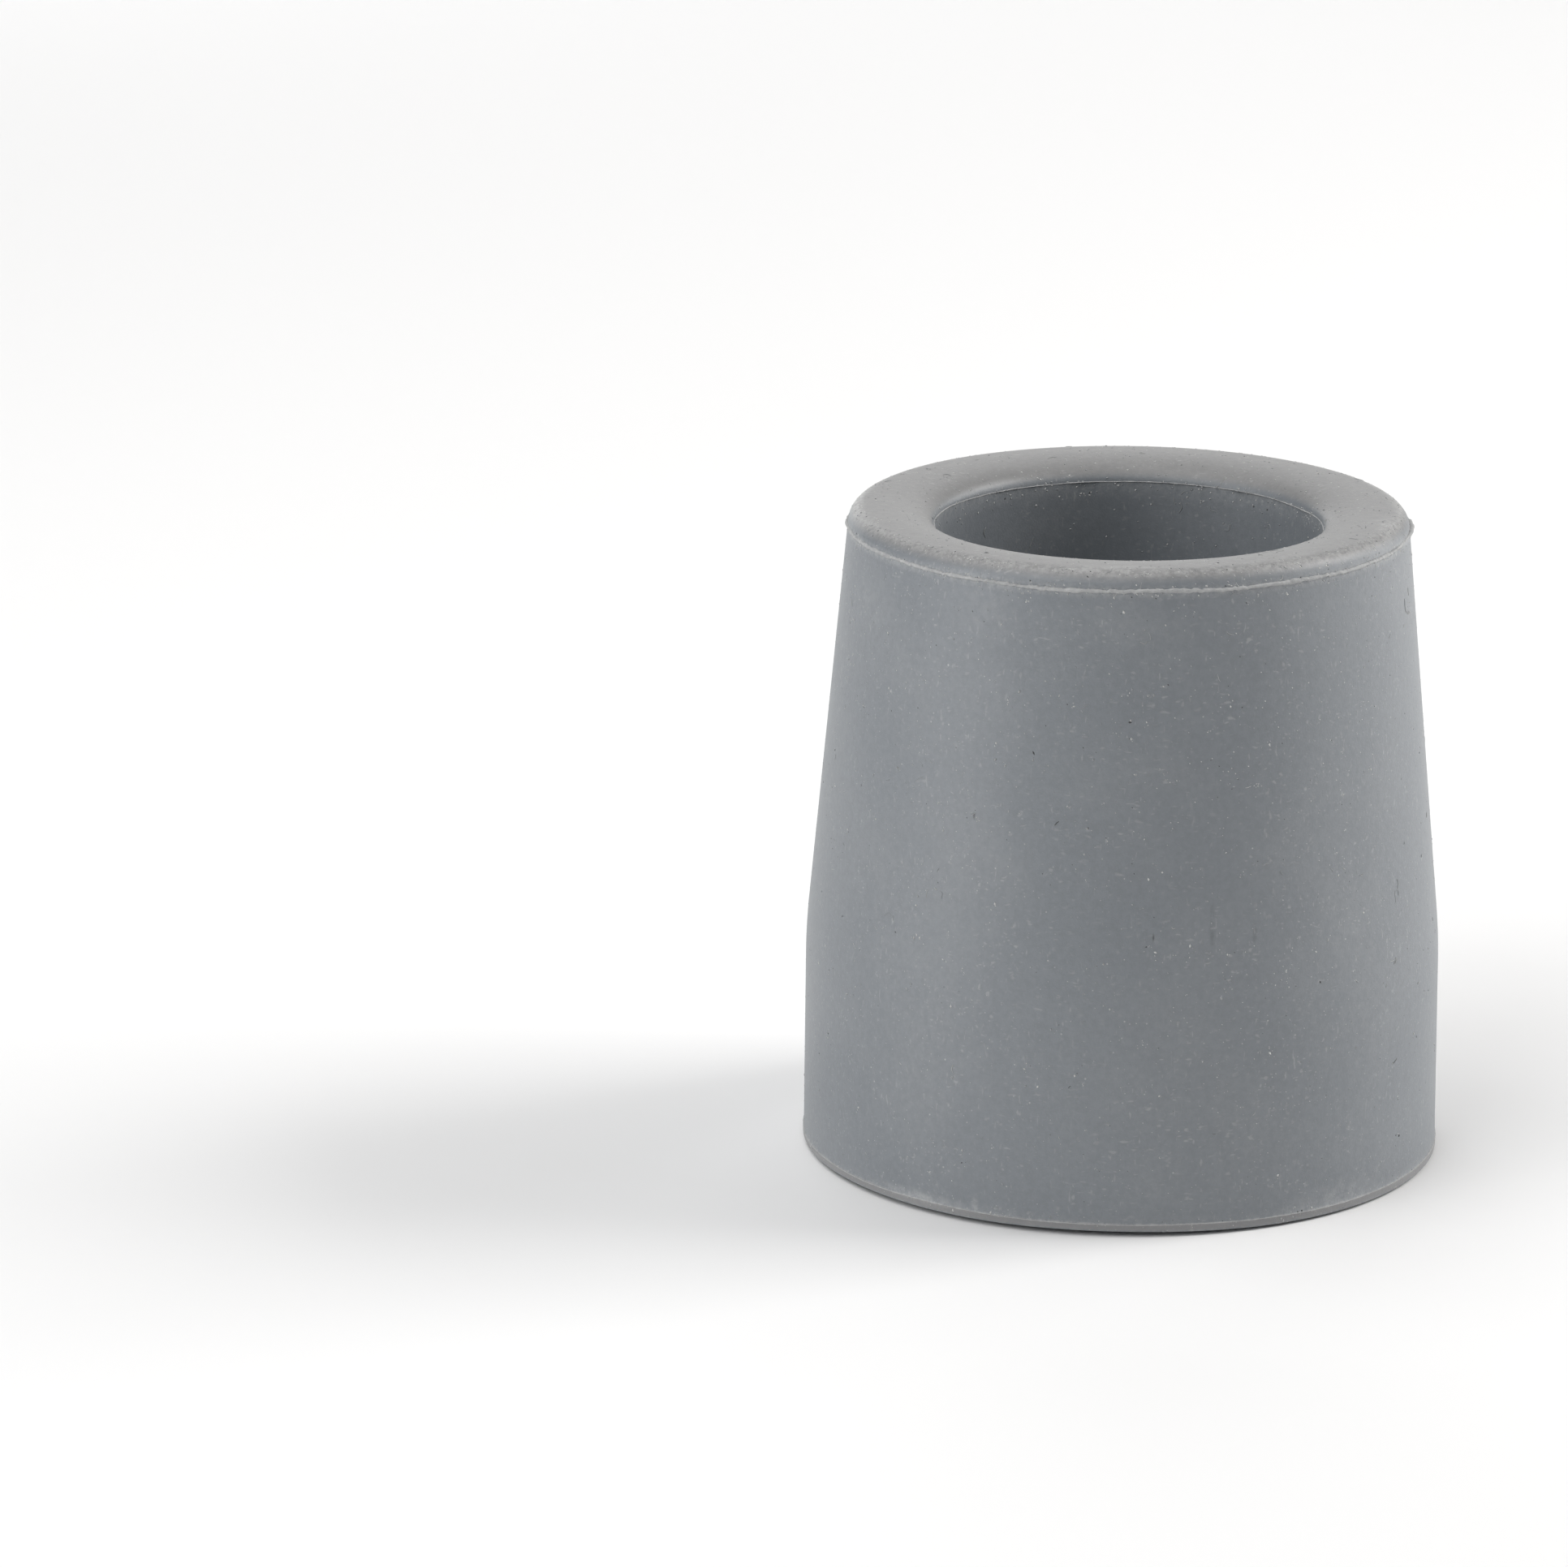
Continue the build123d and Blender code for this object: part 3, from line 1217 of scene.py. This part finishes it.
@dataclass(frozen=True)
class Studio:
    """Pale floor, soft lights and the camera."""

    camera_place: tuple[float, float, float] = (-24.37 * MM, -493.15 * MM, 164.17 * MM)
    camera_dip: float = math.radians(15.6215)
    camera_roll: float = math.radians(0.166)
    lens: float = 164.13
    floor_half: float = 3.0
    floor_drop: float = 0.02 * MM
    world: float = 0.0
    aim: tuple[float, float, float] = (0.0, 0.0, 25 * MM)
    boxes: tuple[SoftBox, ...] = (
        SoftBox("left_low", -69, 10, 2.13, size=0.42),
        SoftBox("left_high", -37, 40, 1.65, size=0.42),
        SoftBox("left_top", -90, 65, 2.1, size=0.6, distance=0.6),
        SoftBox("right_low", 81, 10, 1.4, size=0.42),
        SoftBox("right_rear", 119, 10, 1.97, (1.0, 0.985, 0.965), size=0.45),
        SoftBox("right_high", 100, 40, 3.4, (1.0, 0.985, 0.97)),
        SoftBox("rear_low", 169, 10, 0.63, size=0.42),
        SoftBox("rear_left", -160, 10, 0.82),
        SoftBox("rear_high", 180, 40, 0.64, size=0.42),
    )

    def build(self) -> None:
        """Make the camera, the floor, the world and the lights."""
        self._camera()
        self._floor()
        self._world()
        for box in self.boxes:
            box.build(self.aim)

    def _camera(self) -> None:
        """Make the camera, looking along +Y and tipped down."""
        data = bpy.data.cameras.new("camera")
        data.lens, data.sensor_width = self.lens, 36.0
        data.clip_start, data.clip_end = 0.01, 20.0
        camera = add_object("camera", data)
        camera.location = self.camera_place
        camera.rotation_mode = "ZYX"
        camera.rotation_euler = (math.pi / 2 - self.camera_dip, 0.0, self.camera_roll)
        bpy.context.scene.camera = camera

    def _floor(self) -> None:
        """Make the pale floor, a hair below the tread."""
        half, low = self.floor_half, -self.floor_drop
        corners = np.array(
            [[-half, -half, low], [half, -half, low], [half, half, low], [-half, half, low]]
        )
        floor = make_mesh("floor", corners, np.array([[0, 1, 2, 3]]))
        material, tree, shader = new_material("pale_floor")
        tree.put(shader, {"Base Color": (0.86, 0.86, 0.86, 1.0), "Roughness": 0.9})
        floor.data.materials.append(material)

    def _world(self) -> None:
        """Make a plain surround: white to the eye, and dark as a light."""
        world = bpy.data.worlds.new("studio")
        world.use_nodes = True
        world.node_tree.nodes.clear()
        tree = Tree(world.node_tree)
        path = tree.add("ShaderNodeLightPath")
        seen = tree.ramp(path.outputs["Is Camera Ray"], 0.0, 1.0, self.world, 1.0)
        back = tree.add("ShaderNodeBackground")
        tree.put(back, {"Color": (1.0, 1.0, 1.0, 1.0), "Strength": seen})
        out = tree.add("ShaderNodeOutputWorld")
        tree.put(out, {"Surface": back.outputs[0]})
        bpy.context.scene.world = world
        bpy.context.scene.view_settings.view_transform = "Standard"


# ---------------------------------------------------------------- the tip


class WalkerTip:
    """The whole tip: builds each piece, gives it its finish and lets it ride on the frame."""

    def __init__(self, sizes: TipSizes) -> None:
        """Keep the sizes and make the shared effects and the finishes.

        Args:
            sizes: Sizes of the moulding.
        """
        self.sizes = sizes
        effects = Effects()
        self.rubber = RubberFinish("moulded_rubber", on_wall=True, smudges=SMUDGES).make(effects)
        # The fins are paler than the wall: partly the tone of torn rubber, partly a painted
        # highlight of the ridge catching the light from above.
        self.torn = RubberFinish(
            "torn_rubber_and_highlight",
            colour=(0.34, 0.345, 0.35, 1.0),
            bloom=0.15,
            roughness=0.75,
            grain=2.0,
        ).make(effects)
        self.dust = DustFinish("pale_dust").make()
        self.fibre = DustFinish("pale_fibre", bright=(0.48, 0.48, 0.47, 1.0)).make()

    def dress(self, piece: bpy.types.Object, material: bpy.types.Material) -> None:
        """Give a piece its finish and its place on the frame, and report it."""
        piece.data.materials.append(material)
        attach(piece, "root")
        LOG.info("%s: %d faces", piece.name, len(piece.data.polygons))

    def flash_lines(self) -> tuple[FlashLine, ...]:
        """The fins of the mould: shoulder, throat, foot and the edges of the grooves."""
        s = self.sizes
        shoulder = FlashLine(
            "shoulder_flash", s.shoulder_radius, s.shoulder_height, direction=8,
            proud=0.13 * MM, thick=0.27 * MM, wander=0.03 * MM, seed=21, torn=0.42,
            nibs=(Nib(-91, 4, 0.08 * MM), Nib(86, 7, 0.2 * MM)),
        )
        throat = FlashLine(
            "throat_flash", s.bore_radius, s.throat_height, direction=165,
            proud=0.07 * MM, thick=0.08 * MM, wander=0.02 * MM, seed=31, torn=1.0,
            nibs=(Nib(140, 5, 0.10 * MM),),
        )
        foot = FlashLine(
            "foot_flash", s.band_radius, s.foot_line, direction=10,
            proud=0.03 * MM, thick=0.07 * MM, wander=0.02 * MM, seed=41, torn=0.8,
        )
        edges = (
            ("disc_flash", s.disc_radius, 0, 900),
            ("inner_ring_flash", s.inner_groove_radius, 180, 1400),
            ("middle_ring_flash", s.ring_radius, 0, 1800),
            ("outer_ring_flash", s.outer_groove_radius, 180, 2400),
        )
        height = s.tread_rest + 0.03 * MM
        grooves = tuple(
            FlashLine(
                name, radius, height, direction, proud=0.03 * MM, thick=0.04 * MM, wander=0.0,
                seed=71 + k, torn=1.3, columns=columns,
            )
            for k, (name, radius, direction, columns) in enumerate(edges)
        )
        return (shoulder, throat, foot, *grooves)

    def build(self) -> None:
        """Build every piece of the tip."""
        skin = Skin(Outline(self.sizes))
        moulding = Moulding().build(skin)
        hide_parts(NODE)
        self.dress(moulding, self.rubber)
        for line in self.flash_lines():
            self.dress(line.build(skin), self.torn)
        self.dress(Lint().build(skin), self.fibre)
        self.dress(Crumbs().build(skin), self.dust)


def main() -> None:
    """Build the tip and the studio round it."""
    logging.basicConfig(level=logging.INFO)
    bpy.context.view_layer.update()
    WalkerTip(read_sizes()).build()
    Studio().build()


if __name__ == "__main__":
    main()
